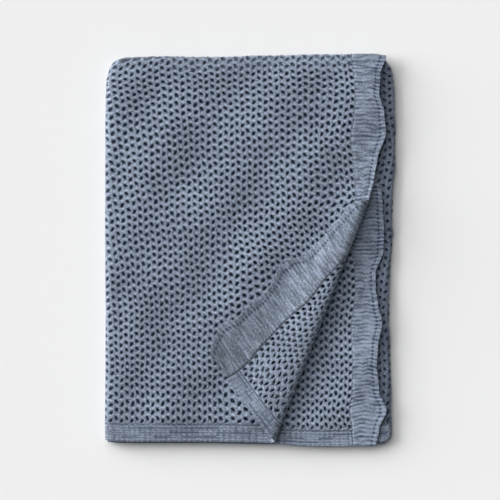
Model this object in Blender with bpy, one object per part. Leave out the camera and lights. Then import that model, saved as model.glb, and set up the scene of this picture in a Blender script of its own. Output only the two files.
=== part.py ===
"""Knit throw, folded flat, as closed solids in metres with +Z up.

An open-knit panel with its own hems, and a ribbed band sewn along each of its two sides. The throw is folded in
half, with that fold at the back (+Y), and then in thirds, with the last third tucked between the other two. The
front right corner of the top layer is turned back over it. It lies on the plane z = 0.

A point of the flat cloth has three coordinates. across runs from the free side edge of the top layer, along runs
from the hem of the top layer, and height stands up from the middle of the cloth, towards its right side.
"""

import math

import bmesh
import bpy
import numpy as np

MM = 0.001

# The cloth and how closely its layers lie.
CLOTH = 3.0 * MM
LAYER_STEP = 4.0 * MM
THIRD_STEP = 8.0 * MM
SEAM_GAP = 0.3 * MM

# The folded throw, before its edges are made uneven.
HALF_WIDTH = 241.0 * MM
HALF_DEPTH = 324.0 * MM
TOP_THIRD_INSET = 20.0 * MM  # the top layers' free edge lies this far inside the fold below it
TUCKED_END_INSET = 16.0 * MM
SHORT_HEM = 8.0 * MM  # the upper cloth of the halved throw ends this much before the lower

# The ribbed bands and the hems.
BAND_WIDTH = 58.0 * MM
HEM_WIDTH = 27.0 * MM
RIB_STEP = 4.1 * MM  # from a rib's crest to the next hollow
RIB_DEPTH = 0.6 * MM
RIBS_PER_ROW = 8

# The turned corner. Its crease runs from the free side edge to the hem.
CREASE_POINT = (195.0 * MM, 83.0 * MM)
CREASE_TURN = math.radians(21.2)
CREASE_RADIUS = 8.0 * MM
FLAP_REST = 6.0 * MM  # how far the settled flap lies above the layer under it, centre to centre
FLAP_SETTLES = 70.0 * MM
FLAP_SHEAR = 0.26
FLAP_EASE = 12.0 * MM

# Soft ridges that run slantwise over the top layers.
RIDGE_HEIGHT = 1.8 * MM
RIDGE_LENGTH = 115.0 * MM
RIDGE_TURN = math.radians(31.2)
RIDGE_START = -7.0 * MM
EDGE_DROOP = 1.6 * MM
DROOP_REACH = 45.0 * MM
EDGE_REACH = 130.0 * MM
WAVE_REACH = 55.0 * MM
WAVE_TURNS = 40.0 * MM  # past this the cloth swings the other way
STRAY = -0.5 * MM  # centres the uneven outline over the origin

# Uneven outline: place along the edge, and how far the edge lies inside the nominal one, in millimetres.
LEFT_EDGE = [(-324, 2), (-300, 1), (-150, 2), (60, 1), (240, 1.5), (285, 3), (305, 7), (316, 12), (324, 20)]
RIGHT_EDGE = [
    (-324, 12), (-312, 7), (-230, 7), (-150, 9), (-65, 10), (20, 5), (110, 3), (140, 0), (265, 0), (285, 2), (305, 6),
    (316, 13), (324, 22),
]
BACK_EDGE = [(-241, 9), (-225, 6), (-190, 5), (-145, 3), (-50, 4), (20, 2), (120, 0), (200, 0), (241, 6)]
FRONT_EDGE = [(-241, 6), (-215, 4), (-80, 4), (40, 2), (120, 0), (200, 1), (228, 2.5), (241, 9)]

# Waves of the bands: place along the side, how far the free edge swings outwards, and how far it stands up.
TOP_BAND_WAVE = [
    (-324, -17, 2), (-314, -7, 2), (-303, 0, 2), (-288, 6, 1), (-268, 11, 0), (-235, 1, 3), (-215, 1, 4),
    (-178, -3, 1), (-150, 0, 0), (-120, 9, 1), (-100, 6, 4), (-66, -7, 2), (-30, -6, 1), (20, -3, 4), (50, -1, 2),
    (68, -8, 3), (86, -22, 4), (98, -20, 5), (112, -17, 5), (128, -15, 4), (148, -11, 3), (194, 3, 0), (228, 0, 2),
    (258, -8, 4), (290, -6, 2), (324, 3, 0),
]
LOWER_BAND_WAVE = [
    (-324, -13, 0), (-297, -8, 1), (-266, 4, 0), (-231, -8, 2), (-190, -12, 3), (-160, -10, 2), (-119, -3, 0),
    (-90, -10, 2), (-60, -14, 3), (-40, -14, 2), (0, -1, 0), (30, 0, 0), (70, -2, 0), (98, -4, 0), (114, -13, 0),
    (260, -13, 0), (290, -10, 0), (324, 3, 0),
]

FOLD_STEPS = 6
HALF_FOLD_STEPS = 4
ROW_STEP = RIBS_PER_ROW * RIB_STEP
YARN_BLUE = (0.155, 0.195, 0.27, 1.0)
BAND_BLUE = (0.165, 0.205, 0.275, 1.0)

# Heights of the middles of the three thirds, and the places of the folds.
LOW_THIRD = (LAYER_STEP + CLOTH) / 2
HIGH_THIRD = LOW_THIRD + 2 * THIRD_STEP
LEFT_RADIUS = THIRD_STEP
RIGHT_RADIUS = THIRD_STEP / 2
PAIR_HALF = (LAYER_STEP + CLOTH) / 2
LEFT_CENTRE = -HALF_WIDTH + PAIR_HALF + LEFT_RADIUS
RIGHT_CENTRE = HALF_WIDTH - PAIR_HALF - RIGHT_RADIUS
TOP_EDGE = HALF_WIDTH - TOP_THIRD_INSET
BACK_CENTRE = HALF_DEPTH - PAIR_HALF
STACK = HIGH_THIRD + PAIR_HALF

# Where each stretch of the cloth ends, across and along.
TOP_END = TOP_EDGE - LEFT_CENTRE
LEFT_END = TOP_END + math.pi * LEFT_RADIUS
LOW_END = LEFT_END + RIGHT_CENTRE - LEFT_CENTRE
RIGHT_END = LOW_END + math.pi * RIGHT_RADIUS
CLOTH_WIDTH = RIGHT_END + RIGHT_CENTRE + HALF_WIDTH - TUCKED_END_INSET
UPPER_END = BACK_CENTRE + HALF_DEPTH - SHORT_HEM
HALF_FOLD_END = UPPER_END + math.pi * LAYER_STEP / 2
CLOTH_LENGTH = HALF_FOLD_END + BACK_CENTRE + HALF_DEPTH


def eased(share):
    """0 below 0, 1 above 1, and a smooth rise between."""
    share = np.clip(share, 0, 1)
    return share * share * (3 - 2 * share)


def read_table(table, place, column=1):
    """A column of a table in millimetres, read smoothly at places in metres."""
    rows = np.array(table, float) * MM
    places, values = rows[:, 0], rows[:, column]
    row = np.clip(np.searchsorted(places, place) - 1, 0, len(rows) - 2)
    share = (place - places[row]) / (places[row + 1] - places[row])
    return values[row] + (values[row + 1] - values[row]) * eased(share)


def fold_in_thirds(across):
    """Middle of the halved cloth in the x-z plane, and the way out of it: (x, z, out_x, out_z)."""
    left_angle = (across - TOP_END) / LEFT_RADIUS
    right_angle = (across - LOW_END) / RIGHT_RADIUS
    stretches = [across < TOP_END, across < LEFT_END, across < LOW_END, across < RIGHT_END]
    left = (-np.sin(left_angle), np.cos(left_angle))
    right = (np.sin(right_angle), -np.cos(right_angle))
    middle = LOW_THIRD + THIRD_STEP
    x = np.select(
        stretches,
        [TOP_EDGE - across, LEFT_CENTRE + LEFT_RADIUS * left[0], LEFT_CENTRE + across - LEFT_END,
         RIGHT_CENTRE + RIGHT_RADIUS * right[0]],
        RIGHT_CENTRE - (across - RIGHT_END),
    )
    z = np.select(
        stretches,
        [HIGH_THIRD, middle + LEFT_RADIUS * left[1], LOW_THIRD, LOW_THIRD + RIGHT_RADIUS * (1 + right[1])],
        middle,
    )
    out_x = np.select(stretches, [0, left[0], 0, right[0]], 0)
    out_z = np.select(stretches, [1, left[1], -1, right[1]], 1)
    return x, z, out_x, out_z


def fold_in_half(along, height):
    """How far points lie out from the middle of the halved cloth, and their y."""
    radius = LAYER_STEP / 2 + height
    angle = np.clip((along - UPPER_END) / (LAYER_STEP / 2), 0, math.pi)
    upper = BACK_CENTRE - (UPPER_END - along)
    lower = BACK_CENTRE - (along - HALF_FOLD_END)
    bend = BACK_CENTRE + radius * np.sin(angle)
    return radius * np.cos(angle), np.select([along < UPPER_END, along > HALF_FOLD_END], [upper, lower], bend)


def crease_distance(x, y):
    """How far points lie past the start of the crease's bend, and how far down along it."""
    out = (math.cos(CREASE_TURN), -math.sin(CREASE_TURN))
    down = (-math.sin(CREASE_TURN), -math.cos(CREASE_TURN))
    x, y = x - CREASE_POINT[0], y - CREASE_POINT[1]
    return x * out[0] + y * out[1] + CREASE_RADIUS, x * down[0] + y * down[1]


def turn_corner(x, y, z, height):
    """The top layer's corner, rolled up at the crease and laid back over the layer."""
    past, down = crease_distance(x, y)
    angle = np.clip(past / CREASE_RADIUS, 0, math.pi)
    back = np.maximum(past - math.pi * CREASE_RADIUS, 0)
    inner = CREASE_RADIUS - height
    settled = eased(back / FLAP_SETTLES)
    reach = inner * np.sin(angle) - back
    rise = CREASE_RADIUS - inner * np.cos(angle) - (2 * CREASE_RADIUS - FLAP_REST) * settled
    slide = FLAP_SHEAR * (np.sqrt(back**2 + FLAP_EASE**2) - FLAP_EASE)
    from_start = reach - CREASE_RADIUS
    down = down - slide
    turned_x = CREASE_POINT[0] + from_start * math.cos(CREASE_TURN) - down * math.sin(CREASE_TURN)
    turned_y = CREASE_POINT[1] - from_start * math.sin(CREASE_TURN) - down * math.cos(CREASE_TURN)
    turned = past > 0
    return np.where(turned, turned_x, x), np.where(turned, turned_y, y), np.where(turned, z - height + rise, z)


def soften(x, y, z, below_top):
    """Uneven outline, soft slanting ridges and drooping edges."""
    from_left, from_right = x + HALF_WIDTH, HALF_WIDTH - x
    from_front, from_back = y + HALF_DEPTH, HALF_DEPTH - y
    near_left, near_right, near_front, near_back = (
        1 - eased(gap / EDGE_REACH) for gap in (from_left, from_right, from_front, from_back)
    )
    slant = x * math.cos(RIDGE_TURN) - y * math.sin(RIDGE_TURN)
    ridge = RIDGE_HEIGHT * np.sin(2 * math.pi * (slant - RIDGE_START) / RIDGE_LENGTH)
    nearest = np.minimum(np.minimum(from_left, from_right), np.minimum(from_front, from_back))
    inside = eased(nearest / DROOP_REACH)
    lift = ridge * inside - EDGE_DROOP * (1 - inside)
    new_x = (
        x + read_table(LEFT_EDGE, y) * near_left
        - np.where(below_top, read_table(RIGHT_EDGE, y), 0) * near_right + STRAY
    )
    new_y = y - read_table(BACK_EDGE, x) * near_back + read_table(FRONT_EDGE, x) * near_front
    return new_x, new_y, z * (1 + lift / STACK)


def band_wave(along, y, column):
    """A column of the wave of the band in this half of the cloth."""
    upper, lower = (read_table(table, y, column) for table in (TOP_BAND_WAVE, LOWER_BAND_WAVE))
    return np.where(along < UPPER_END, upper, lower)


def sway(flat):
    """Flat points with the first side edge, and the cloth near it, swung in and out."""
    across, along, height = flat.T
    swing = band_wave(along, fold_in_half(along, height)[1], 1)
    share = (1 - (across / WAVE_TURNS) ** 2) * np.exp(-((across / WAVE_REACH) ** 2))
    return np.column_stack((across - swing * share, along, height))


def fold_points(flat):
    """Flat points, as rows of across, along and height, moved to their places in the folded throw."""
    across, along, height = flat.T
    upper = along < UPPER_END
    top_third = across < TOP_END
    out, y = fold_in_half(along, height)
    stand = band_wave(along, y, 2)
    x, z, out_x, out_z = fold_in_thirds(across)
    x = x + out_x * out
    z = z + out_z * out
    turned = turn_corner(x, y, z, height)
    on_top = upper & top_third
    x, y, z = (np.where(on_top, new, old) for new, old in zip(turned, (x, y, z)))
    z = z + stand * np.clip(1 - across / BAND_WIDTH, 0, 1) ** 1.5 * top_third
    return np.column_stack(soften(x, y, z, ~top_third))


def spaced(start, end, step):
    """Stations from start to end, without the end, about step apart."""
    count = max(1, round((end - start) / step))
    return [start + (end - start) * i / count for i in range(count)]


def stations(marks, steps, start, end):
    """Stations from start to end. Each stretch up to a mark has its own step, and the marks are kept."""
    found = [start]
    low = start
    for mark, step in zip(marks, steps):
        high = min(mark, end)
        if high > low:
            found += spaced(low, high, step)[1:] + [high]
            low = high
    return found


def across_stations(start, end):
    marks = [TOP_END, LEFT_END, LOW_END, RIGHT_END, CLOTH_WIDTH]
    left_step = math.pi * LEFT_RADIUS / FOLD_STEPS
    right_step = math.pi * RIGHT_RADIUS / FOLD_STEPS
    return stations(marks, [ROW_STEP * 0.8, left_step, 50 * MM, right_step, 40 * MM], start, end)


def along_stations():
    marks = [HEM_WIDTH, UPPER_END, HALF_FOLD_END, CLOTH_LENGTH - HEM_WIDTH, CLOTH_LENGTH]
    fold_step = math.pi * LAYER_STEP / 2 / HALF_FOLD_STEPS
    return stations(marks, [HEM_WIDTH / 2, ROW_STEP, fold_step, ROW_STEP, HEM_WIDTH / 2], 0, CLOTH_LENGTH)


def rib_count(length):
    """An even number of steps between crests and hollows in a stretch, or 1 in the short stretches of a fold."""
    return max(1, 2 * round(length / (2 * RIB_STEP)))


def ribbed(rows):
    """The same stations, with those of the ribs added between them."""
    found = []
    for low, high in zip(rows, rows[1:]):
        found += spaced(low, high, (high - low) / rib_count(high - low))
    return found + rows[-1:]


def flat_slab(columns, rows):
    """A closed slab of cloth, flat, with a point at every station."""
    bm = bmesh.new()
    bmesh.ops.create_grid(bm, x_segments=len(columns) - 1, y_segments=len(rows) - 1, size=1)
    for vert in bm.verts:
        column = round((vert.co.x + 1) / 2 * (len(columns) - 1))
        row = round((vert.co.y + 1) / 2 * (len(rows) - 1))
        vert.co = (columns[column], rows[row], -CLOTH / 2)
    raised = bmesh.ops.extrude_face_region(bm, geom=bm.faces[:])["geom"]
    for vert in (part for part in raised if isinstance(part, bmesh.types.BMVert)):
        vert.co.z = CLOTH / 2
    bmesh.ops.recalc_face_normals(bm, faces=bm.faces[:])
    return bm


def move_points(bm, rule):
    """Moves every point by a rule for rows of points."""
    places = rule(np.array([vert.co for vert in bm.verts]))
    for vert, place in zip(bm.verts, places):
        vert.co = place


def score_crease(bm):
    """Cuts the slab through along lines that follow the crease, so that it bends there."""
    bend = [math.pi * CREASE_RADIUS * i / FOLD_STEPS for i in range(FOLD_STEPS + 1)]
    settling = [bend[-1] + FLAP_SETTLES * share for share in (0.2, 0.45, 0.7, 1)]
    out = (-math.cos(CREASE_TURN), -math.sin(CREASE_TURN), 0)
    for past in bend + settling:
        corner = [
            face for face in bm.faces
            if face.calc_center_median().y < UPPER_END and face.calc_center_median().x < TOP_END
        ]
        touched = {part for face in corner for part in (*face.edges, *face.verts)}
        from_point = past - CREASE_RADIUS
        x = CREASE_POINT[0] + from_point * math.cos(CREASE_TURN)
        y = CREASE_POINT[1] - from_point * math.sin(CREASE_TURN)
        flat_point = (TOP_EDGE - x, y - (BACK_CENTRE - UPPER_END), 0)
        bmesh.ops.bisect_plane(bm, geom=corner + list(touched), dist=1e-6, plane_co=flat_point, plane_no=out)


def divide_edges(bm, chosen):
    """Divides the chosen edges at the stations of their ribs."""
    groups = {}
    for edge in filter(chosen, bm.edges):
        groups.setdefault(rib_count(edge.calc_length()), []).append(edge)
    for count, edges in groups.items():
        bmesh.ops.subdivide_edges(bm, edges=edges, cuts=count - 1)


def crosses_top_hem(edge):
    """Whether an edge of the flat slab runs across, inside the hem of the top layers."""
    first, second = (vert.co for vert in edge.verts)
    return first.y == second.y < 1.01 * HEM_WIDTH and max(first.x, second.x) < TOP_END


def raise_ribs(bm, axis, places, inside):
    """Makes the cloth thicker on the crests and thinner in the hollows of the ribs, which lie at these places."""
    for vert in filter(inside, bm.verts):
        rib = min(range(len(places)), key=lambda i: abs(places[i] - vert.co[axis]))
        vert.co.z *= 1 + RIB_DEPTH / CLOTH * (1 if rib % 2 else -1)


def material(name, colour):
    made = bpy.data.materials.new(name)
    made.use_nodes = True
    shader = made.node_tree.nodes["Principled BSDF"]
    shader.inputs["Base Color"].default_value = colour
    shader.inputs["Roughness"].default_value = 0.92
    return made


def add_cloth(name, bm, finish):
    """Folds the flat slab and adds it as an object. The fold mirrors the slab, so its faces are turned round."""
    bmesh.ops.triangulate(bm, faces=bm.faces[:])
    move_points(bm, fold_points)
    bmesh.ops.reverse_faces(bm, faces=bm.faces[:])
    mesh = bpy.data.meshes.new(name)
    bm.to_mesh(mesh)
    bm.free()
    mesh.shade_smooth()
    mesh.materials.append(finish)
    bpy.context.scene.collection.objects.link(bpy.data.objects.new(name, mesh))


def add_panel(finish):
    """The open-knit panel with the hems at its two ends, in six layers."""
    columns = across_stations(BAND_WIDTH + SEAM_GAP / 2, CLOTH_WIDTH - BAND_WIDTH - SEAM_GAP / 2)
    bm = flat_slab(columns, along_stations())
    divide_edges(bm, lambda edge: all(vert.co.x < columns[0] + SEAM_GAP for vert in edge.verts))
    divide_edges(bm, crosses_top_hem)
    past_seam = columns[0] + SEAM_GAP
    raise_ribs(bm, 0, ribbed(columns), lambda vert: vert.co.y < 0.9 * HEM_WIDTH and vert.co.x > past_seam)
    move_points(bm, sway)
    score_crease(bm)
    add_cloth("open_knit_panel", bm, finish)


def add_outer_band(finish):
    """The ribbed band on the free side edges of the two top layers."""
    columns = [0, BAND_WIDTH / 2, BAND_WIDTH - SEAM_GAP / 2]
    rows = ribbed(along_stations())
    bm = flat_slab(columns, rows)
    raise_ribs(bm, 1, rows, lambda vert: vert.co.x < BAND_WIDTH - SEAM_GAP)
    move_points(bm, sway)
    score_crease(bm)
    add_cloth("side_band_outer", bm, finish)


def add_tucked_band(finish):
    """The same band on the other side of the panel, where it is tucked between the thirds."""
    columns = [CLOTH_WIDTH - BAND_WIDTH + SEAM_GAP / 2, CLOTH_WIDTH]
    add_cloth("side_band_tucked", flat_slab(columns, along_stations()), finish)


def main():
    for thing in list(bpy.data.objects):
        bpy.data.objects.remove(thing)
    add_panel(material("open knit", YARN_BLUE))
    rib = material("rib knit", BAND_BLUE)
    add_outer_band(rib)
    add_tucked_band(rib)


main()
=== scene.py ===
"""Folded knit throw: an openwork net with ribbed hems and side bands, in six layers with one corner turned back.

Every piece is made flat, where a point is (across, along, height) in metres: across runs from the free side edge
of the top layer, along runs from that layer's hem, and height stands up from the middle of the cloth. One rule then
folds them all into the shape of the CAD model.
"""

import math

import bmesh
import bpy
import numpy as np
from bpy.props import FloatProperty, FloatVectorProperty, PointerProperty
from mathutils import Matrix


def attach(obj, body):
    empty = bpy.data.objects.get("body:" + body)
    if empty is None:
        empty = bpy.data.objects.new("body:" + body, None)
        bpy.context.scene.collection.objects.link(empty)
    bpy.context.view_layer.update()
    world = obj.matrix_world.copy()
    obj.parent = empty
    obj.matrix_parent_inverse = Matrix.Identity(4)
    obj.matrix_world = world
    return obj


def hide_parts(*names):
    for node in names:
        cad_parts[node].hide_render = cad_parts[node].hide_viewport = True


bl_info = {
    "name": "Folded knit throw",
    "version": (1, 0, 0),
    "blender": (4, 5, 0),
    "location": "View3D > Sidebar > Throw",
    "description": "Builds a folded openwork knit throw with ribbed bands and hems",
    "category": "Object",
}

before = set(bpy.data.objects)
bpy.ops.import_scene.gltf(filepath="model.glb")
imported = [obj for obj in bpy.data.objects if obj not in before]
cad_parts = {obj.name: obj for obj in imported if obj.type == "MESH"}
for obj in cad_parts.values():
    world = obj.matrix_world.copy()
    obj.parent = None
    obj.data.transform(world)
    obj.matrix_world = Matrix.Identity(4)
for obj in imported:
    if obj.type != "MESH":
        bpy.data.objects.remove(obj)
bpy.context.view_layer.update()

MM = 0.001
CLOSE = 0.001

# The folded cloth, as in the CAD model.
CLOTH = 3.0 * MM
LAYER_STEP = 4.0 * MM
THIRD_STEP = 8.0 * MM
HALF_WIDTH = 241.0 * MM
HALF_DEPTH = 324.0 * MM
TOP_THIRD_INSET = 20.0 * MM
TUCKED_END_INSET = 16.0 * MM
SHORT_HEM = 8.0 * MM
BAND_WIDTH = 58.0 * MM
HEM_WIDTH = 27.0 * MM

# The ribs of the bands, two to a row of the net, with their line of pits beside the free edge.
RIBS_TO_ROW = 2
PIT_LINE = 10.0 * MM
PIT_SIZE = 1.9 * MM
RIB_ARCH = 5.0 * MM
ARCH_FROM_END = 150.0 * MM
RIB_WAVER = 0.9 * MM
WAVER_FROM_END = 20.0 * MM
WAVER_FROM_SEAM = 14.0 * MM
BAND_ROLL = 0.5 * MM
BAND_ROLL_REACH = 5.0 * MM
SEAM_THINNING = 0.25
SEAM_THINNING_REACH = 4.0 * MM
EDGE_NOTCH = 0.7 * MM
EDGE_NOTCH_REACH = 3.0 * MM
TURNED_BELOW = 60.0 * MM
TURNED_EASE = 40.0 * MM
TURNED_FAINTER = 0.4

# The hems: how far the upper one reaches out, how far the lower one ends inside where it is covered, and its stitches.
LONG_HEM = 3.3 * MM
COVERED_HEM_IN = 2.2 * MM
COVERED_FROM = 150.0 * MM
COVERED_EASE = 40.0 * MM
HEM_STITCH = HEM_WIDTH / 4
HEM_STEPS = 4
HEM_CUT = 0.6
HEM_CROSS = 0.8
HEM_ROLL = 0.4 * MM
HEM_ROLL_REACH = 4.0 * MM
DASH_LINE = HEM_WIDTH - 1.5 * MM
DASH_SIZE = 1.6 * MM
DASH_DEPTH = 1.15

# Where the band and the hem have their points, in millimetres from the edge, and their gap to the net.
BAND_MARKS = [0, 1.5, 4, 7, 8.7, 10, 11.3, 13.5, 18, 24, 30, 36, 42, 48, 53, 57.9]
HEM_MARKS = [0, 1.7, 3.4, 5.1, 6.8, 8.5, 10.2, 13.5, 16.9, 20.2, 22.5, 24.2, 25.1, 25.9, 26.9]
JOIN_GAP = 0.1 * MM

# The plain hidden layers: half their thickness, the steps between their points, and their painted light, a painted
# shade.
INNER_HALF = 1.2 * MM
INNER_STEP = 14.0 * MM
INNER_FOLD_STEP = 2.5 * MM
INNER_PAINTED_LIGHT = 0.6

# The turned corner.
CREASE_POINT = (195.0 * MM, 83.0 * MM)
CREASE_TURN = math.radians(21.2)
CREASE_RADIUS = 8.0 * MM
FLAP_REST = 6.0 * MM
FLAP_SETTLES = 70.0 * MM
FLAP_SHEAR = 0.26
FLAP_EASE = 12.0 * MM
BARED_EASE = 12.0 * MM

# Soft ridges and edges.
RIDGE_HEIGHT = 1.8 * MM
RIDGE_LENGTH = 115.0 * MM
RIDGE_TURN = math.radians(31.2)
RIDGE_START = -7.0 * MM
EDGE_DROOP = 1.6 * MM
DROOP_REACH = 45.0 * MM
EDGE_REACH = 130.0 * MM
WAVE_REACH = 55.0 * MM
WAVE_TURNS = 40.0 * MM
STRAY = -0.5 * MM

# Uneven outline: place along the edge, and how far the edge lies inside the nominal one, in millimetres.
LEFT_EDGE = [(-324, 2), (-300, 1), (-150, 2), (60, 1), (240, 1.5), (285, 3), (305, 7), (316, 12), (324, 20)]
RIGHT_EDGE = [
    (-324, 12), (-312, 7), (-230, 7), (-150, 9), (-65, 10), (20, 5), (110, 3), (140, 0), (265, 0), (285, 2), (305, 6),
    (316, 13), (324, 22),
]
BACK_EDGE = [(-241, 9), (-225, 6), (-190, 5), (-145, 3), (-50, 4), (20, 2), (120, 0), (200, 0), (241, 6)]
FRONT_EDGE = [(-241, 6), (-215, 4), (-80, 4), (40, 2), (120, 0), (200, 1), (228, 2.5), (241, 9)]

# Waves of the bands: place along the side, how far the free edge swings outwards, and how far it stands up.
TOP_BAND_WAVE = [
    (-324, -17, 2), (-314, -7, 2), (-303, 0, 2), (-288, 6, 1), (-268, 11, 0), (-235, 1, 3), (-215, 1, 4),
    (-178, -3, 1), (-150, 0, 0), (-120, 9, 1), (-100, 6, 4), (-66, -7, 2), (-30, -6, 1), (20, -3, 4), (50, -1, 2),
    (68, -8, 3), (86, -22, 4), (98, -20, 5), (112, -17, 5), (128, -15, 4), (148, -11, 3), (194, 3, 0), (228, 0, 2),
    (258, -8, 4), (290, -6, 2), (324, 3, 0),
]
LOWER_BAND_WAVE = [
    (-324, -13, 0), (-297, -8, 1), (-266, 4, 0), (-231, -8, 2), (-190, -12, 3), (-160, -10, 2), (-119, -3, 0),
    (-90, -10, 2), (-60, -14, 3), (-40, -14, 2), (0, -1, 0), (30, 0, 0), (70, -2, 0), (98, -4, 0), (114, -13, 0),
    (260, -13, 0), (290, -10, 0), (324, 3, 0),
]

# The seam between the band and the net: place along the side, and how far the seam is pulled towards the free edge.
TOP_SEAM_WAVE = [
    (-324, 2), (0, 2), (60, 1), (86, 6), (100, 5), (118, 3), (133, 3), (150, 3), (170, 2), (185, 4), (205, 7), (236, 9),
    (262, 8), (300, 5), (324, 5),
]
LOWER_SEAM_WAVE = [
    (-324, 2), (-200, 2), (-150, 1), (-137, 2), (-124, 3), (-98, 5), (-73, 7), (-34, 5), (40, 3), (324, 5),
]

# Heights of the middles of the thirds, and the places of the folds.
PAIR_HALF = (LAYER_STEP + CLOTH) / 2
LOW_THIRD = PAIR_HALF
HIGH_THIRD = LOW_THIRD + 2 * THIRD_STEP
LEFT_RADIUS = THIRD_STEP
RIGHT_RADIUS = THIRD_STEP / 2
LEFT_CENTRE = -HALF_WIDTH + PAIR_HALF + LEFT_RADIUS
RIGHT_CENTRE = HALF_WIDTH - PAIR_HALF - RIGHT_RADIUS
TOP_EDGE = HALF_WIDTH - TOP_THIRD_INSET
BACK_CENTRE = HALF_DEPTH - PAIR_HALF
STACK = HIGH_THIRD + PAIR_HALF

# Where each stretch of the cloth ends, across and along.
TOP_END = TOP_EDGE - LEFT_CENTRE
LEFT_END = TOP_END + math.pi * LEFT_RADIUS
LOW_END = LEFT_END + RIGHT_CENTRE - LEFT_CENTRE
RIGHT_END = LOW_END + math.pi * RIGHT_RADIUS
CLOTH_WIDTH = RIGHT_END + RIGHT_CENTRE + HALF_WIDTH - TUCKED_END_INSET
UPPER_END = BACK_CENTRE + HALF_DEPTH - SHORT_HEM
HALF_FOLD_END = UPPER_END + math.pi * LAYER_STEP / 2
HALF_FOLD_MIDDLE = (UPPER_END + HALF_FOLD_END) / 2
CLOTH_LENGTH = HALF_FOLD_END + BACK_CENTRE + HALF_DEPTH

# How far the net is pulled out of square, and where each pull starts, reaches or fades.
PAST_HALF_FOLD = 60.0 * MM
PAST_LEFT_FOLD = 280.0 * MM
ROW_SINK = 19.0 * MM
SINK_START = 170.0 * MM
SINK_REACH = 300.0 * MM
SINK_FROM_HEM = 250.0 * MM
COLUMN_LEAN = 45.0 * MM
LEAN_START_ACROSS = 90.0 * MM
LEAN_REACH_ACROSS = 320.0 * MM
LEAN_START_ALONG = 150.0 * MM
LEAN_REACH_ALONG = 480.0 * MM
ROW_SLIDE = 7.0 * MM
SLIDE_FROM_HEM = 65.0 * MM
SLIDE_FROM_FOLD = 75.0 * MM
TOP_GATHER = 25.0 * MM
LOW_GATHER = 16.0 * MM
GATHER_REACH = 220.0 * MM
GATHER_PEAK = 0.45
GATHER_FADE = 200.0 * MM
TOP_GATHER_END = 380.0 * MM
LOW_GATHER_END = 400.0 * MM
TOP_SKEW = 14.0 * MM
SKEW_FROM_HEM = 80.0 * MM
SEAM_REACH = 130.0 * MM
FOLD_WAVE = 5.0 * MM
FOLD_WAVE_REACH = 45.0 * MM
FOLD_WAVE_FROM_HEM = 60.0 * MM
FOLD_WAVE_CREST = 481.0 * MM
FOLD_WAVE_LENGTH = 180.0 * MM
WOBBLE = 0.8 * MM
WOBBLE_EASE = 40.0 * MM

# The knitting of the net. Thickness is a share of the cloth's. Its painted light is painted shade: 0 is dark, deep in
# the openings, and 1 is bright, and the net of the lower layers keeps a share of it, a further painted shade.
SEAM_OPENING = 1.3
UNEVEN_OPENINGS = 0.16
RIM_THICK = 0.6
STRAND_THICK = 0.9
MIDDLE_THICK = 1.35
RIM_PAINTED_LIGHT = 0.38
STRAND_PAINTED_LIGHT = 0.6
MIDDLE_PAINTED_LIGHT = 1.0
LOWER_PAINTED_LIGHT = 0.82

# The net, counted in openings. Its columns run from band to band, and its rows from hem to fold and on to the hem.
NET_START = BAND_WIDTH
NET_COLUMNS = 150
COLUMN = (CLOTH_WIDTH - 2 * BAND_WIDTH) / NET_COLUMNS
UPPER_ROWS = 47
UPPER_ROW = (HALF_FOLD_MIDDLE - HEM_WIDTH) / UPPER_ROWS
LOWER_ROWS = 48
LOWER_ROW = (CLOTH_LENGTH - HEM_WIDTH - HALF_FOLD_MIDDLE) / LOWER_ROWS
LAST_ROW = UPPER_ROWS + LOWER_ROWS
HALFWAY_ROW = 24
PAST_FOLD_ROW = UPPER_ROWS + 2
LEFT_FOLD_COLUMNS = 49
RIGHT_FOLD_COLUMNS = 109
CORNER_COLUMNS = 22
CORNER_FIRST_ROW = 66
BAND_STEPS = 8

# The finishes: the colour of each and the way its stitches run, the pitch of its strands, and how strongly they show,
# as painted light and shade along the stitches and as bumps.
FINISHES = {
    "open knit": ("net", "net"), "ribbed band": ("band", "band"), "ribbed hem": ("hem", "hem"),
    # The inner knit is painted shade: the dark colour of the hidden layers.
    "inner knit": ("inner", "net"),
}
NET_STRAND = UPPER_ROW / 4
BAND_STRAND = 3.4 * MM
HEM_STRAND = 4.3 * MM
STITCH_PAINTED_LIGHT = {"net": 0.2, "band": 0.05, "hem": 0.35}
STITCH_HEIGHT = {"net": 0.35, "band": 0.12, "hem": 0.35}

# The studio. A light has its place, seen from the throw, its strength and its angle. The picture is taken from above.
FLOOR_SIZE = 6.0
LIGHTS = {"window": ((-0.55, 0.7, 1), 1.9, 72), "low window": ((-2.8, 0.85, 1), 4.2, 45)}
SKY_COLOUR = (0.96, 0.98, 1.0, 1.0)
SKY_STRENGTH = 0.12
CAMERA_HEIGHT = 9.0
CAMERA_X = -0.8 * MM
SENSOR_WIDTH = 36
PICTURE_WIDTH = 0.825


def eased(share):
    """0 below 0, 1 above 1, and a smooth rise between."""
    share = np.clip(share, 0, 1)
    return share * share * (3 - 2 * share)


def read_table(table, place, column=1):
    """A column of a table in millimetres, read smoothly at places in metres."""
    rows = np.array(table, float) * MM
    places, values = rows[:, 0], rows[:, column]
    row = np.clip(np.searchsorted(places, place) - 1, 0, len(rows) - 2)
    share = (place - places[row]) / (places[row + 1] - places[row])
    return values[row] + (values[row + 1] - values[row]) * eased(share)


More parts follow.
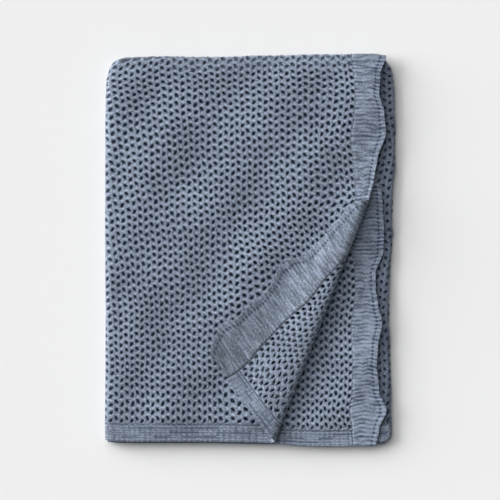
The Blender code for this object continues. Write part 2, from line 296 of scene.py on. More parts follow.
def fold_in_thirds(across):
    """Middle of the halved cloth in the x-z plane, and the way out of it: (x, z, out_x, out_z)."""
    left_angle = (across - TOP_END) / LEFT_RADIUS
    right_angle = (across - LOW_END) / RIGHT_RADIUS
    stretches = [across < TOP_END, across < LEFT_END, across < LOW_END, across < RIGHT_END]
    left = (-np.sin(left_angle), np.cos(left_angle))
    right = (np.sin(right_angle), -np.cos(right_angle))
    middle = LOW_THIRD + THIRD_STEP
    x = np.select(
        stretches,
        [TOP_EDGE - across, LEFT_CENTRE + LEFT_RADIUS * left[0], LEFT_CENTRE + across - LEFT_END,
         RIGHT_CENTRE + RIGHT_RADIUS * right[0]],
        RIGHT_CENTRE - (across - RIGHT_END),
    )
    z = np.select(
        stretches,
        [HIGH_THIRD, middle + LEFT_RADIUS * left[1], LOW_THIRD, LOW_THIRD + RIGHT_RADIUS * (1 + right[1])],
        middle,
    )
    out_x = np.select(stretches, [0, left[0], 0, right[0]], 0)
    out_z = np.select(stretches, [1, left[1], -1, right[1]], 1)
    return x, z, out_x, out_z


def fold_in_half(along, height):
    """How far points lie out from the middle of the halved cloth, and their y."""
    radius = LAYER_STEP / 2 + height
    angle = np.clip((along - UPPER_END) / (LAYER_STEP / 2), 0, math.pi)
    upper = BACK_CENTRE - (UPPER_END - along)
    lower = BACK_CENTRE - (along - HALF_FOLD_END)
    bend = BACK_CENTRE + radius * np.sin(angle)
    return radius * np.cos(angle), np.select([along < UPPER_END, along > HALF_FOLD_END], [upper, lower], bend)


def turn_corner(x, y, z, height):
    """The top layer's corner, rolled up at the crease and laid back over the layer."""
    x_from, y_from = x - CREASE_POINT[0], y - CREASE_POINT[1]
    sine, cosine = math.sin(CREASE_TURN), math.cos(CREASE_TURN)
    past = x_from * cosine - y_from * sine + CREASE_RADIUS
    down = -x_from * sine - y_from * cosine
    angle = np.clip(past / CREASE_RADIUS, 0, math.pi)
    back = np.maximum(past - math.pi * CREASE_RADIUS, 0)
    inner = CREASE_RADIUS - height
    settled = eased(back / FLAP_SETTLES)
    reach = inner * np.sin(angle) - back - CREASE_RADIUS
    rise = CREASE_RADIUS - inner * np.cos(angle) - (2 * CREASE_RADIUS - FLAP_REST) * settled
    down = down - FLAP_SHEAR * (np.sqrt(back**2 + FLAP_EASE**2) - FLAP_EASE)
    turned_x = CREASE_POINT[0] + reach * cosine - down * sine
    turned_y = CREASE_POINT[1] - reach * sine - down * cosine
    turned = past > 0
    return np.where(turned, turned_x, x), np.where(turned, turned_y, y), np.where(turned, z - height + rise, z)


def soften(x, y, z, below_top):
    """Uneven outline, soft slanting ridges and drooping edges."""
    from_left, from_right = x + HALF_WIDTH, HALF_WIDTH - x
    from_front, from_back = y + HALF_DEPTH, HALF_DEPTH - y
    near_left, near_right, near_front, near_back = (
        1 - eased(gap / EDGE_REACH) for gap in (from_left, from_right, from_front, from_back)
    )
    slant = x * math.cos(RIDGE_TURN) - y * math.sin(RIDGE_TURN)
    ridge = RIDGE_HEIGHT * np.sin(2 * math.pi * (slant - RIDGE_START) / RIDGE_LENGTH)
    nearest = np.minimum(np.minimum(from_left, from_right), np.minimum(from_front, from_back))
    inside = eased(nearest / DROOP_REACH)
    lift = ridge * inside - EDGE_DROOP * (1 - inside)
    new_x = (
        x + read_table(LEFT_EDGE, y) * near_left
        - np.where(below_top, read_table(RIGHT_EDGE, y), 0) * near_right + STRAY
    )
    new_y = y - read_table(BACK_EDGE, x) * near_back + read_table(FRONT_EDGE, x) * near_front
    return new_x, new_y, z * (1 + lift / STACK)


def band_wave(along, y, column):
    """A column of the wave of the band in this half of the cloth."""
    upper, lower = (read_table(table, y, column) for table in (TOP_BAND_WAVE, LOWER_BAND_WAVE))
    return np.where(along < UPPER_END, upper, lower)


def drift(across, along):
    """The net pulled out of square. Its rows and columns bend, and the bands and hems stay where they are."""
    from_seam = np.clip(np.minimum(across, CLOTH_WIDTH - across) - BAND_WIDTH, 0, None)
    from_hem = np.clip(np.minimum(along, CLOTH_LENGTH - along) - HEM_WIDTH, 0, None)
    near_left = 1 - eased((along - HALF_FOLD_MIDDLE) / PAST_HALF_FOLD)
    near_left = near_left * (1 - eased((across - LEFT_END) / PAST_LEFT_FOLD))
    sink = ROW_SINK * near_left * np.clip((across - SINK_START) / SINK_REACH, 0, 1.1) ** 2
    sink = sink * eased(from_hem / SINK_FROM_HEM)
    lean = COLUMN_LEAN * near_left * np.clip((across - LEAN_START_ACROSS) / LEAN_REACH_ACROSS, 0, 1.25) ** 1.8
    lean = lean * np.clip((along - LEAN_START_ALONG) / LEAN_REACH_ALONG, 0, 1) ** 1.5
    slide = ROW_SLIDE * eased(from_hem / SLIDE_FROM_HEM) * eased((UPPER_END - along) / SLIDE_FROM_FOLD)
    part = np.clip((across - BAND_WIDTH) / GATHER_REACH, 0, 1)
    gather = np.minimum(part / GATHER_PEAK, 1) * (1 - eased((part - GATHER_PEAK) / (1 - GATHER_PEAK)))
    top_corner = gather * eased((TOP_GATHER_END - along) / GATHER_FADE)
    low_corner = gather * eased((LOW_GATHER_END - (CLOTH_LENGTH - along)) / GATHER_FADE)
    skew = TOP_SKEW * top_corner * eased(from_hem / SKEW_FROM_HEM)
    wave = FOLD_WAVE * bell((across - RIGHT_END) / FOLD_WAVE_REACH) * eased(from_hem / FOLD_WAVE_FROM_HEM)
    wave = wave * np.cos(2 * math.pi * (along - FOLD_WAVE_CREST) / FOLD_WAVE_LENGTH)
    upper_side = along < HALF_FOLD_MIDDLE
    y = np.where(upper_side, along, 2 * HALF_FOLD_MIDDLE - along) - UPPER_END + BACK_CENTRE
    seam = np.where(upper_side, read_table(TOP_SEAM_WAVE, y), read_table(LOWER_SEAM_WAVE, y))
    seam = seam * np.minimum(across / BAND_WIDTH, 1 - eased((across - BAND_WIDTH) / SEAM_REACH))
    loose = WOBBLE * eased(from_seam / WOBBLE_EASE) * eased(from_hem / WOBBLE_EASE)
    sideways = np.sin(along / 0.0131 + across / 0.031) + np.sin(along / 0.029 - across / 0.017 + 2)
    lengthways = np.sin(across / 0.0113 + along / 0.037) + np.sin(across / 0.023 - along / 0.019 + 1)
    pull = lean - wave - seam - TOP_GATHER * top_corner - LOW_GATHER * low_corner
    return across + pull + loose * sideways, along - sink + slide + skew + loose * lengthways


def fold(across, along, height):
    """Places in the folded throw, one row for each flat point."""
    across, along = drift(across, along)
    upper = along < UPPER_END
    top_third = across < TOP_END
    out, y = fold_in_half(along, height)
    swing = band_wave(along, y, 1)
    stand = band_wave(along, y, 2)
    across = across - swing * (1 - (across / WAVE_TURNS) ** 2) * bell(across / WAVE_REACH)
    x, z, out_x, out_z = fold_in_thirds(across)
    x = x + out_x * out
    z = z + out_z * out
    turned = turn_corner(x, y, z, height)
    on_top = upper & top_third
    x, y, z = (np.where(on_top, new, old) for new, old in zip(turned, (x, y, z)))
    z = z + stand * np.clip(1 - across / BAND_WIDTH, 0, 1) ** 1.5 * top_third
    return np.column_stack(soften(x, y, z, ~top_third))


def hashed(*numbers):
    """An even spread of numbers from -1 to 1 that is always the same for the same whole numbers."""
    mixed = sum(number * step for number, step in zip(numbers, (12.9898, 78.233, 37.719)))
    return 2 * ((np.sin(mixed) * 43758.5453) % 1) - 1


def net_cage(columns, rows, fine):
    """A flat net of one unit to an opening, as a closed sheet from z = -1 to z = 1, with its outer edges creased."""
    sizes = bpy.context.scene.knit_sizes
    bm = bmesh.new()
    bmesh.ops.create_grid(bm, x_segments=columns, y_segments=rows, size=0.5)
    bmesh.ops.scale(bm, vec=(columns, rows, 1), verts=bm.verts)
    bmesh.ops.translate(bm, vec=(columns / 2, rows / 2, -1), verts=bm.verts)
    bmesh.ops.inset_individual(bm, faces=bm.faces[:], thickness=sizes.strand_share, use_even_offset=True)
    openings = []
    for face in bm.faces:
        centre = face.calc_center_median()
        if abs(centre.x % 1 - 0.5) < 0.05 and abs(centre.y % 1 - 0.5) < 0.05:
            openings.append(face)
    bmesh.ops.delete(bm, geom=openings, context="FACES")
    if fine:
        level = [edge for edge in bm.edges if is_level(edge)]
        bmesh.ops.subdivide_edges(bm, edges=level, cuts=1)
    raised = bmesh.ops.extrude_face_region(bm, geom=bm.faces[:])["geom"]
    for vert in (part for part in raised if isinstance(part, bmesh.types.BMVert)):
        vert.co.z = 1
    bmesh.ops.recalc_face_normals(bm, faces=bm.faces[:])
    crease = bm.edges.layers.float.new("crease_edge")
    for edge in bm.edges:
        if on_border(edge, columns, rows):
            edge[crease] = 1
    return bm


def is_level(edge):
    """Whether an edge of the cage runs across, above or below an opening."""
    first, second = (vert.co for vert in edge.verts)
    return abs(first.y - second.y) < CLOSE and abs(first.x - second.x) > 0.3


def on_border(edge, columns, rows):
    """Whether an edge of the cage lies on the outline of the net."""
    first, second = (vert.co for vert in edge.verts)
    ends = ((first.x, second.x, 0), (first.x, second.x, columns), (first.y, second.y, 0), (first.y, second.y, rows))
    return any(abs(a - end) < CLOSE and abs(b - end) < CLOSE for a, b, end in ends)


def grid_slab(columns, rows):
    """A closed flat slab from z = -1 to z = 1 with a point at every station."""
    bm = bmesh.new()
    bmesh.ops.create_grid(bm, x_segments=len(columns) - 1, y_segments=len(rows) - 1, size=0.5)
    for vert in bm.verts:
        column = round((vert.co.x + 0.5) * (len(columns) - 1))
        row = round((vert.co.y + 0.5) * (len(rows) - 1))
        vert.co = (columns[column], rows[row], -1)
    raised = bmesh.ops.extrude_face_region(bm, geom=bm.faces[:])["geom"]
    for vert in (part for part in raised if isinstance(part, bmesh.types.BMVert)):
        vert.co.z = 1
    bmesh.ops.recalc_face_normals(bm, faces=bm.faces[:])
    return bm


def evenly(start, end, count):
    """Places from start to end, count steps apart."""
    return [start + (end - start) * i / count for i in range(count + 1)]


def row_place(row):
    """Where a row of the net starts, along the cloth. A row may be a fraction, and may lie in a hem."""
    return np.where(row < UPPER_ROWS, HEM_WIDTH + row * UPPER_ROW, HALF_FOLD_MIDDLE + (row - UPPER_ROWS) * LOWER_ROW)


def row_at(along):
    """The row of the net at a place along the cloth, with its fraction."""
    upper = (along - HEM_WIDTH) / UPPER_ROW
    return np.where(along < HALF_FOLD_MIDDLE, upper, UPPER_ROWS + (along - HALF_FOLD_MIDDLE) / LOWER_ROW)


def net_points(units, first_column, first_row):
    """Flat points of a net cage: (across, along, height, painted light). Painted shade: 0 deep in the openings, 1 on
    the crests.
    """
    sizes = bpy.context.scene.knit_sizes
    u, v, side = units[:, 0] + first_column, units[:, 1] + first_row, units[:, 2]
    near_u, near_v = np.round(u), np.round(v)
    u = np.where(abs(u - near_u) < CLOSE, near_u, u)
    v = np.where(abs(v - near_v) < CLOSE, near_v, v)
    column, row = np.floor(u), np.floor(v)
    rim = (u != column) & (v != row)
    middle = (u != column) & (v == row)
    leans = 1 - 2 * (column % 2)
    at_hem = (v == 0) | (v == LAST_ROW)
    wide = np.where((column == 0) | (column == NET_COLUMNS - 1), SEAM_OPENING, 1)
    wide = wide * (1 + UNEVEN_OPENINGS * hashed(column, row, 1))
    tall = sizes.opening_height * (1 + UNEVEN_OPENINGS * hashed(column, row, 2))
    from_u = (u - column - 0.5) * wide
    from_v = (v - row - 0.5) * tall
    corner = np.sign(from_u) + 3 * np.sign(from_v)
    stray_u = 0.05 * hashed(column, row, 3) + 0.03 * hashed(column + corner, row, 4)
    stray_v = 0.04 * hashed(column, row, 5) + 0.02 * hashed(column + corner, row, 6)
    u = np.where(rim, column + 0.5 + from_u + stray_u, u)
    v = np.where(rim, row + 0.5 + from_v + stray_v, v)
    along = row_place(v) + leans * sizes.stagger / 2 * np.where(rim | (middle & ~at_hem), 1, 0)
    across = NET_START + u * COLUMN + np.where(rim, leans * sizes.lean / 2 * np.sign(from_v), 0)
    # Painted shade: the rims of the openings are darkest, the strands lighter, and the bars between openings fully
    # bright.
    relief = np.select([rim, middle], [RIM_PAINTED_LIGHT, MIDDLE_PAINTED_LIGHT], STRAND_PAINTED_LIGHT)
    thick = np.select([rim, middle], [RIM_THICK, MIDDLE_THICK], STRAND_THICK)
    return np.column_stack((across, along, side * CLOTH / 2 * thick, relief))


def groove(phase):
    """1 in the middle of the groove at each whole phase, falling to 0 between them."""
    return np.cos(math.pi * (phase - np.round(phase))) ** 2


def bell(share):
    """1 at 0, falling off softly on both sides."""
    return np.exp(-(share**2))


def bared(x, y):
    """1 where the turned corner bares the layer below it, and 0 where that layer stays covered."""
    past = (x - CREASE_POINT[0]) * math.cos(CREASE_TURN) - (y - CREASE_POINT[1]) * math.sin(CREASE_TURN)
    return eased((past + BARED_EASE) / BARED_EASE)


def folded_object(name, bm, rule, levels=0, covered=1.0):
    """Makes an object of a flat shape. The rule gives its flat points, which are then folded.

    covered is the share of the painted light that is left where the layer lies under the top one: painted shade under
    the top layer.
    """
    bmesh.ops.reverse_faces(bm, faces=bm.faces[:])
    mesh = bpy.data.meshes.new(name)
    bm.to_mesh(mesh)
    bm.free()
    points = np.empty(len(mesh.vertices) * 3, np.float32)
    mesh.vertices.foreach_get("co", points)
    flat = rule(points.reshape(-1, 3).astype(float))
    placed = fold(*flat[:, :3].T)
    # Painted shade: a layer is darkened where the top layer covers it, and keeps its painted light where the turned
    # corner bares it.
    flat[:, 3] *= covered + (1 - covered) * bared(placed[:, 0], placed[:, 1])
    corners = np.empty(len(mesh.loops), np.int32)
    mesh.loops.foreach_get("vertex_index", corners)
    uv = mesh.uv_layers.new(name="cloth")
    uv.data.foreach_set("uv", flat[corners, :2].astype(np.float32).ravel())
    relief = mesh.attributes.new("relief", "FLOAT", "POINT")
    relief.data.foreach_set("value", flat[:, 3].astype(np.float32))
    mesh.vertices.foreach_set("co", placed.astype(np.float32).ravel())
    mesh.update()
    mesh.shade_smooth()
    piece = bpy.data.objects.new(name, mesh)
    bpy.context.scene.collection.objects.link(piece)
    if levels:
        rounding = piece.modifiers.new("rounding", "SUBSURF")
        rounding.levels = levels
        rounding.render_levels = levels
    return piece


def finish_piece(piece, material, node):
    """Gives a piece its finish, hangs it on the root body and hides the CAD part that it stands for."""
    piece.data.materials.append(material)
    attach(piece, "root")
    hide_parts(node)


class Nodes:
    """A short way to write the nodes of a material."""

    def __init__(self, name):
        self.material = bpy.data.materials.new(name)
        self.material.use_nodes = True
        self.tree = self.material.node_tree
        self.shader = self.tree.nodes["Principled BSDF"]

    def add(self, kind, settings=(), **inputs):
        """A node of a kind, with its settings and its inputs by name."""
        node = self.tree.nodes.new(kind)
        for name, value in dict(settings).items():
            setattr(node, name, value)
        for name, value in inputs.items():
            self.put(node.inputs[name], value)
        return node

    def put(self, socket, value):
        """Links an output to a socket, or writes a constant on it."""
        if isinstance(value, bpy.types.NodeSocket):
            self.tree.links.new(value, socket)
        else:
            socket.default_value = value

    def math(self, operation, first, second=0.0, third=0.0):
        """The output of a sum."""
        node = self.tree.nodes.new("ShaderNodeMath")
        node.operation = operation
        for socket, value in zip(node.inputs, (first, second, third)):
            self.put(socket, value)
        return node.outputs[0]

    def mix(self, share, first, second):
        """The output of a mix of two colours."""
        node = self.tree.nodes.new("ShaderNodeMix")
        node.data_type = "RGBA"
        for key, value in ((0, share), (6, first), (7, second)):
            self.put(node.inputs[key], value)
        return node.outputs[2]

    def spread(self, noise, contrast, onto):
        """Adds a noise to a value, about its middle and made stronger."""
        return self.math("MULTIPLY_ADD", self.math("SUBTRACT", noise, 0.5), contrast, onto)

    def within_one(self, value):
        """Keeps a value between 0 and 1."""
        return self.math("MAXIMUM", self.math("MINIMUM", value, 1.0), 0.0)


def yarn_material(name, base, pattern):
    """Matte heathered yarn. pattern is "net", "band" or "hem", for the way its stitches run."""
    colours = bpy.context.scene.knit_colours
    made = Nodes(name)
    place = made.add("ShaderNodeUVMap", {"uv_map": "cloth"}).outputs[0]
    parts = made.add("ShaderNodeSeparateXYZ", Vector=place)
    across, along = parts.outputs[0], parts.outputs[1]
    fine = made.add("ShaderNodeTexNoise", Vector=place, Scale=800.0, Detail=2.0, Roughness=0.7).outputs[0]
    fleck = made.add("ShaderNodeTexNoise", Vector=place, Scale=300.0, Detail=3.0, Roughness=0.7).outputs[0]
    cloud = made.add("ShaderNodeTexNoise", Vector=place, Scale=14.0, Detail=2.0, Roughness=0.5).outputs[0]
    column = made.math("DIVIDE", made.math("SUBTRACT", across, NET_START), COLUMN)
    from_middle = made.math("ABSOLUTE", made.math("SUBTRACT", made.math("FRACT", column), 0.5))
    if pattern == "net":
        strands = made.math("ADD", made.math("DIVIDE", along, NET_STRAND), made.math("MULTIPLY", from_middle, 2.4))
    elif pattern == "band":
        strands = made.math("DIVIDE", across, BAND_STRAND)
    else:
        strands = made.math("ADD", made.math("DIVIDE", along, HEM_STRAND), made.math("MULTIPLY", from_middle, 0.5))
    stitch = made.math("SINE", made.math("MULTIPLY", strands, 2 * math.pi))
    if pattern == "hem":
        ribs = made.math("SINE", made.math("MULTIPLY", column, 4 * math.pi))
        stitch = made.math("MULTIPLY", stitch, made.math("MULTIPLY_ADD", ribs, 0.5, 0.7))
    relief = made.add("ShaderNodeAttribute", {"attribute_name": "relief"}).outputs["Fac"]
    light = made.spread(fleck, 3.2, 0.5)
    if pattern == "band":
        squeezed = made.add("ShaderNodeMapping", Vector=place, Scale=(0.2, 1.0, 1.0)).outputs[0]
        streak = made.add("ShaderNodeTexNoise", Vector=squeezed, Scale=170.0, Detail=2.0, Roughness=0.6).outputs[0]
        light = made.spread(streak, 3.0, light)
    # Painted light and shade: bright and dark lines along the stitches.
    light = made.math("MULTIPLY_ADD", stitch, STITCH_PAINTED_LIGHT[pattern], light)
    # Painted shade: the yarn is darker near the top layer's hem and lighter further along the cloth.
    light = made.math("ADD", made.math("MULTIPLY_ADD", along, 0.22, -0.12), light)
    light = made.within_one(made.spread(cloud, 0.9, made.spread(fine, 1.6, light)))
    dark_yarn = (*(0.5 * part for part in base), 1.0)
    light_yarn = (*(min(1.0, 1.5 * part) for part in base), 1.0)
    yarn = made.mix(light, dark_yarn, light_yarn)
    # Painted shade: the lower the painted light, the more the yarn turns to the painted shade colour.
    raised = made.within_one(made.math("MULTIPLY_ADD", relief, 1.35, -0.13))
    made.put(made.shader.inputs["Base Color"], made.mix(raised, (*colours.painted_shade, 1.0), yarn))
    made.put(made.shader.inputs["Roughness"], made.math("MULTIPLY_ADD", fine, 0.2, 0.75))
    made.shader.inputs["Sheen Weight"].default_value = 0.2
    made.shader.inputs["Sheen Roughness"].default_value = 0.6
    made.shader.inputs["Specular IOR Level"].default_value = 0.2
    tall = made.math("MULTIPLY_ADD", stitch, STITCH_HEIGHT[pattern], made.math("MULTIPLY", fleck, 1.4))
    tall = made.math("MULTIPLY_ADD", fine, 0.6, tall)
    bump = made.add("ShaderNodeBump", Height=tall, Strength=0.9, Distance=0.7 * MM)
    made.put(made.shader.inputs["Normal"], bump.outputs[0])
    return made.material


def material_for(key):
    """The finish of that name, made once."""
    found = bpy.data.materials.get(key)
    if found:
        return found
    colour, pattern = FINISHES[key]
    return yarn_material(key, tuple(getattr(bpy.context.scene.knit_colours, colour)), pattern)


class KnitSizes(bpy.types.PropertyGroup):
    """Sizes of the knitting."""

    strand_share: FloatProperty(
        name="Strand", description="Half a strand's width, as a share of the net's repeat",
        default=0.22, min=0.1, max=0.4,
    )
    opening_height: FloatProperty(
        name="Opening height", description="Height of an opening, as a share of its full height", default=0.73, min=0.3
    )
    stagger: FloatProperty(
        name="Stagger", description="How far neighbouring columns of openings are offset",
        default=4.9 * MM, unit="LENGTH",
    )
    lean: FloatProperty(
        name="Lean", description="How far an opening's top lies beside its foot", default=2.6 * MM, unit="LENGTH"
    )
    rib_depth: FloatProperty(
        name="Rib depth", description="From a rib's crest down to its groove", default=1.0 * MM, unit="LENGTH"
    )


class KnitColours(bpy.types.PropertyGroup):
    """Colours of the yarn and the floor."""

    net: FloatVectorProperty(
        name="Net", description="Yarn of the openwork", default=(0.322, 0.385, 0.487), subtype="COLOR"
    )
    band: FloatVectorProperty(
        name="Bands", description="Yarn of the side bands", default=(0.205, 0.245, 0.315), subtype="COLOR"
    )
    hem: FloatVectorProperty(
        name="Hems", description="Yarn of the hems", default=(0.23, 0.275, 0.35), subtype="COLOR"
    )
    # Painted shade: the hidden layers get a colour far darker than the yarn, standing in for the shade inside the fold.
    inner: FloatVectorProperty(
        name="Inner layers", description="Yarn of the layers inside the fold",
        default=(0.055, 0.075, 0.12), subtype="COLOR",
    )
    # Painted shade: the colour laid into the openings, grooves and covered layers in place of their shade.
    painted_shade: FloatVectorProperty(
        name="Painted shade", description="Yarn deep in the openings", default=(0.032, 0.05, 0.1), subtype="COLOR"
    )
    floor: FloatVectorProperty(
        name="Floor", description="Surface that the throw lies on", default=(0.86, 0.86, 0.86), subtype="COLOR"
    )


def add_net(name, columns, rows, fine, covered=1.0, kept_painted_light=1.0):
    """A stretch of the net, given its first and last column and row. The last argument is the share of its painted
    light that is left, a painted shade for the lower layers.
    """
    bm = net_cage(columns[1] - columns[0], rows[1] - rows[0], fine)
    shares = (1, 1, 1, kept_painted_light)
    piece = folded_object(name, bm, lambda units: net_points(units, columns[0], rows[0]) * shares, 1, covered)
    finish_piece(piece, material_for("open knit"), "open_knit_panel")
    return piece


class THROW_OT_top_net(bpy.types.Operator):
    """Knits the net of the top layer, with its turned corner and its left fold"""

    bl_idname = "throw.top_net"
    bl_label = "Top net"

    def execute(self, context):
        columns = (0, LEFT_FOLD_COLUMNS)
        add_net("top_net_front", columns, (0, HALFWAY_ROW), True)
        add_net("top_net_back", columns, (HALFWAY_ROW, PAST_FOLD_ROW), True)
        return {"FINISHED"}


class THROW_OT_under_net(bpy.types.Operator):
    """Knits the net of the underside, which goes on round the right fold"""

    bl_idname = "throw.under_net"
    bl_label = "Under net"

    def execute(self, context):
        columns = (LEFT_FOLD_COLUMNS, RIGHT_FOLD_COLUMNS)
        # Painted shade: the under nets keep only part of their painted light.
        add_net("under_net_front", columns, (0, HALFWAY_ROW), False, kept_painted_light=LOWER_PAINTED_LIGHT)
        add_net("under_net_back", columns, (HALFWAY_ROW, PAST_FOLD_ROW), False, kept_painted_light=LOWER_PAINTED_LIGHT)
        return {"FINISHED"}


class THROW_OT_tucked_net(bpy.types.Operator):
    """Knits the net of the tucked third where its back fold shows"""

    bl_idname = "throw.tucked_net"
    bl_label = "Tucked net"

    def execute(self, context):
        rows = (UPPER_ROWS - 1, PAST_FOLD_ROW)
        # Painted shade: the tucked net keeps only part of its painted light.
        add_net("tucked_net_back", (RIGHT_FOLD_COLUMNS, NET_COLUMNS), rows, False, kept_painted_light=LOWER_PAINTED_LIGHT)
        return {"FINISHED"}


class THROW_OT_second_net(bpy.types.Operator):
    """Knits the net of the second layer where the turned corner bares it"""

    bl_idname = "throw.second_net"
    bl_label = "Second net"

    def execute(self, context):
        rows = (CORNER_FIRST_ROW, LAST_ROW)
        # Painted shade: the second net is in full painted shade where the top layer covers it.
        add_net("second_net", (0, CORNER_COLUMNS), rows, True, covered=0.0)
        return {"FINISHED"}


def inner_points(units):
    """Flat points of a plain hidden layer, darkened all over with painted shade."""
    across, along, side = units.T
    return np.column_stack((across, along, side * INNER_HALF, np.full(len(units), INNER_PAINTED_LIGHT)))


def add_inner(name, columns, rows):
    """A plain stretch of a hidden layer, given its first and last column and row."""
    start, end = (NET_START + column * COLUMN for column in columns)
    low, high = (float(row_place(row)) for row in rows)
    marks = [mark for mark in (TOP_END, LEFT_END, LOW_END, RIGHT_END) if start < mark < end]
    stations = [start]
    for mark in marks + [end]:
        step = INNER_FOLD_STEP if stations[-1] in (TOP_END, LOW_END) else INNER_STEP
        count = max(1, round((mark - stations[-1]) / step))
        stations += evenly(stations[-1], mark, count)[1:]
    bm = grid_slab(stations, evenly(low, high, max(1, round((high - low) / INNER_STEP))))
    piece = folded_object(name, bm, inner_points)
    finish_piece(piece, material_for("inner knit"), "open_knit_panel")


class THROW_OT_inner_layers(bpy.types.Operator):
    """Lays the plain hidden layers between the nets"""

    bl_idname = "throw.inner_layers"
    bl_label = "Inner layers"

    def execute(self, context):
        add_inner("inner_second_back", (0, NET_COLUMNS), (PAST_FOLD_ROW, CORNER_FIRST_ROW))
        add_inner("inner_second_front", (CORNER_COLUMNS, NET_COLUMNS), (CORNER_FIRST_ROW, LAST_ROW))
        add_inner("inner_tucked", (RIGHT_FOLD_COLUMNS, NET_COLUMNS), (0, UPPER_ROWS - 1))
        return {"FINISHED"}


def band_points(units):
    """Flat points of a ribbed side band: two ribs to a row of the net, and a line of pits beside the free edge."""
    sizes = bpy.context.scene.knit_sizes
    across, along, side = units.T
    phase = RIBS_TO_ROW * row_at(along)
    rib = np.round(phase)
    from_edge = np.minimum(across, CLOTH_WIDTH - across)
    strength = np.where(rib % 2 == 0, 1.0, 0.8) * (0.85 + 0.25 * hashed(rib, 0, 5))
    patchy = 0.25 * np.sin(from_edge / (8 * MM) + 6 * hashed(rib, 0, 6))
    strength = strength * (0.8 + patchy + 0.15 * np.sin(from_edge / (3.5 * MM) + 6 * hashed(rib, 0, 9)))
    place = along - UPPER_END + BACK_CENTRE
    turned = np.where(across < CLOTH_WIDTH / 2, eased((TURNED_BELOW - place) / TURNED_EASE), 0)
    cut = groove(phase) * strength * (1 - TURNED_FAINTER * turned * (along < UPPER_END))
    pit = bell((from_edge - PIT_LINE) / PIT_SIZE) * groove(phase) ** 0.7
    rolled = BAND_ROLL * bell(from_edge / BAND_ROLL_REACH)
    at_seam = 1 - SEAM_THINNING * bell((BAND_WIDTH - from_edge) / SEAM_THINNING_REACH)
    height = side * at_seam * (CLOTH / 2 + rolled - sizes.rib_depth * np.clip(cut + 0.6 * pit, 0, 1.2))
    away = np.where(across < CLOTH_WIDTH / 2, 1, -1)
    across = across + away * EDGE_NOTCH * cut * np.exp(-from_edge / EDGE_NOTCH_REACH)
    inside = eased((BAND_WIDTH - from_edge) / WAVER_FROM_SEAM)
    from_end = np.minimum(along, CLOTH_LENGTH - along)
    towards_net = np.where(along < CLOTH_LENGTH / 2, 1, -1)
    covered = (across > CLOTH_WIDTH / 2) & (along > CLOTH_LENGTH / 2)
    pull = COVERED_HEM_IN * covered * np.clip(1 - from_end / HEM_WIDTH, 0, 1)
    waver = np.sin(from_edge / (9 * MM) + along / (33 * MM)) + np.sin(from_edge / (5 * MM) - along / (21 * MM))
    arch = np.sin(math.pi * from_edge / BAND_WIDTH) * np.sin(math.pi * np.clip(from_end / ARCH_FROM_END, 0, 1))
    waver = RIB_WAVER * waver * inside * eased(from_end / WAVER_FROM_END)
    along = along + waver + RIB_ARCH * arch * towards_net - pull
    # Painted shade: the grooves and pits are darkened in colour as well as sunk.
    return np.column_stack((across, along, height, np.clip(1 - 0.9 * cut - 0.9 * pit, 0, 1)))


def add_band(name, stations):
    """A ribbed band with the given stations across the cloth, as long as the cloth."""
    first, last = (BAND_STEPS * float(row_at(end)) for end in (0.0, CLOTH_LENGTH))
    steps = range(math.ceil(first + 0.2), math.floor(last - 0.2) + 1)
    rows = [0.0] + [float(row_place(step / BAND_STEPS)) for step in steps] + [CLOTH_LENGTH]
    return folded_object(name, grid_slab(stations, rows), band_points)


class THROW_OT_side_bands(bpy.types.Operator):
    """Knits the ribbed bands along the two sides of the cloth"""

    bl_idname = "throw.side_bands"
    bl_label = "Side bands"

    def execute(self, context):
        outer = add_band("side_band_outer_rib", [mark * MM for mark in BAND_MARKS])
        finish_piece(outer, material_for("ribbed band"), "side_band_outer")
        far = evenly(CLOTH_WIDTH - BAND_WIDTH + JOIN_GAP, CLOTH_WIDTH, 6)
        tucked = add_band("side_band_tucked_rib", far)
        finish_piece(tucked, material_for("ribbed band"), "side_band_tucked")
        return {"FINISHED"}


def hem_points(units):
    """Flat points of a ribbed hem: one rib to a column of the net, crossed by soft rows of stitches."""
    sizes = bpy.context.scene.knit_sizes
    across, along, side = units.T
    from_edge = np.minimum(along, CLOTH_LENGTH - along)
    columns = (across - NET_START) / COLUMN
    rows = from_edge / HEM_STITCH
    column, row = np.round(columns), np.round(rows)
    cut = HEM_CUT * groove(columns) * (0.8 + 0.3 * hashed(column, row, 7))
    patch = np.clip(0.6 + 0.8 * hashed(np.round(columns / 3), row, 8), 0, 1)
    cross = HEM_CROSS * groove(rows) * patch * (from_edge > 0)
    deep = np.maximum(cut, cross)
    dash = bell((DASH_LINE - from_edge) / DASH_SIZE) * np.clip(0.7 - 0.55 * np.cos(2 * math.pi * columns), 0, 1)
    deep = np.maximum(deep, DASH_DEPTH * dash * (0.75 + 0.25 * hashed(column, 0, 10)))
    rolled = HEM_ROLL * bell(from_edge / HEM_ROLL_REACH)
    height = side * (CLOTH / 2 + rolled - sizes.rib_depth * deep)
    covered = eased((across - COVERED_FROM) / COVERED_EASE)
    pull = np.where(along < CLOTH_LENGTH / 2, LONG_HEM, COVERED_HEM_IN * covered)
    along = along - pull * (1 - from_edge / HEM_WIDTH)
    # Painted shade: the grooves and the dash are darkened in colour as well as sunk.
    return np.column_stack((across, along, height, np.clip(1 - 0.95 * deep, 0, 1)))


class THROW_OT_hems(bpy.types.Operator):
    """Knits the ribbed hems at the two ends of the cloth"""

    bl_idname = "throw.hems"
    bl_label = "Hems"

    def execute(self, context):
        columns = evenly(BAND_WIDTH, CLOTH_WIDTH - BAND_WIDTH, HEM_STEPS * NET_COLUMNS)
        marks = [mark * MM for mark in HEM_MARKS]
        # Painted shade: the lower hem keeps 0.4 of its painted light where it lies covered, for the shade along the
        # bottom edge.
        ends = {"hem_upper": (marks, 1.0), "hem_lower": ([CLOTH_LENGTH - mark for mark in reversed(marks)], 0.4)}
        for name, (rows, covered) in ends.items():
            piece = folded_object(name, grid_slab(columns, rows), hem_points, covered=covered)
            finish_piece(piece, material_for("ribbed hem"), "open_knit_panel")
        return {"FINISHED"}


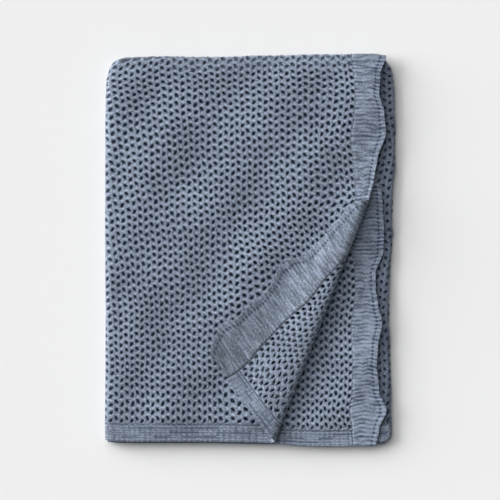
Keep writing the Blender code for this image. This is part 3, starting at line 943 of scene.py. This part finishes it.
class THROW_OT_studio(bpy.types.Operator):
    """Sets the pale floor, the soft lights and the camera"""

    bl_idname = "throw.studio"
    bl_label = "Studio"

    def execute(self, context):
        bm = bmesh.new()
        bmesh.ops.create_grid(bm, x_segments=1, y_segments=1, size=FLOOR_SIZE)
        mesh = bpy.data.meshes.new("floor")
        bm.to_mesh(mesh)
        bm.free()
        floor = bpy.data.objects.new("floor", mesh)
        context.scene.collection.objects.link(floor)
        paper = bpy.data.materials.new("pale floor")
        paper.use_nodes = True
        shader = paper.node_tree.nodes["Principled BSDF"]
        shader.inputs["Base Color"].default_value = (*context.scene.knit_colours.floor, 1.0)
        shader.inputs["Roughness"].default_value = 0.9
        mesh.materials.append(paper)
        for name, (place, energy, angle) in LIGHTS.items():
            lamp = bpy.data.lights.new(name, "SUN")
            lamp.energy = energy
            lamp.angle = math.radians(angle)
            window = bpy.data.objects.new(name, lamp)
            context.scene.collection.objects.link(window)
            window.location = place
            window.rotation_euler = window.location.to_track_quat("Z", "Y").to_euler()
        world = bpy.data.worlds.new("studio")
        world.use_nodes = True
        sky = world.node_tree.nodes["Background"]
        sky.inputs["Color"].default_value = SKY_COLOUR
        sky.inputs["Strength"].default_value = SKY_STRENGTH
        context.scene.world = world
        context.scene.view_settings.view_transform = "Standard"
        lens = bpy.data.cameras.new("camera")
        lens.lens = SENSOR_WIDTH * CAMERA_HEIGHT / PICTURE_WIDTH
        camera = bpy.data.objects.new("camera", lens)
        camera.location = (CAMERA_X, 0, CAMERA_HEIGHT)
        context.scene.collection.objects.link(camera)
        context.scene.camera = camera
        return {"FINISHED"}


class THROW_PT_panel(bpy.types.Panel):
    """The throw's steps, in order"""

    bl_label = "Folded knit throw"
    bl_space_type = "VIEW_3D"
    bl_region_type = "UI"
    bl_category = "Throw"

    def draw(self, context):
        for group in (context.scene.knit_sizes, context.scene.knit_colours):
            for name in group.__annotations__:
                self.layout.prop(group, name)
        for step in STEPS:
            self.layout.operator(step.bl_idname)


STEPS = (
    THROW_OT_inner_layers, THROW_OT_under_net, THROW_OT_tucked_net, THROW_OT_second_net, THROW_OT_top_net,
    THROW_OT_side_bands, THROW_OT_hems, THROW_OT_studio,
)
CLASSES = (KnitSizes, KnitColours, *STEPS, THROW_PT_panel)


def register():
    for made in CLASSES:
        bpy.utils.register_class(made)
    bpy.types.Scene.knit_sizes = PointerProperty(type=KnitSizes)
    bpy.types.Scene.knit_colours = PointerProperty(type=KnitColours)


def unregister():
    del bpy.types.Scene.knit_colours
    del bpy.types.Scene.knit_sizes
    for made in reversed(CLASSES):
        bpy.utils.unregister_class(made)


def main():
    register()
    bpy.ops.throw.inner_layers()
    bpy.ops.throw.under_net()
    bpy.ops.throw.tucked_net()
    bpy.ops.throw.second_net()
    bpy.ops.throw.top_net()
    bpy.ops.throw.side_bands()
    bpy.ops.throw.hems()
    bpy.ops.throw.studio()


if __name__ == "__main__":
    main()
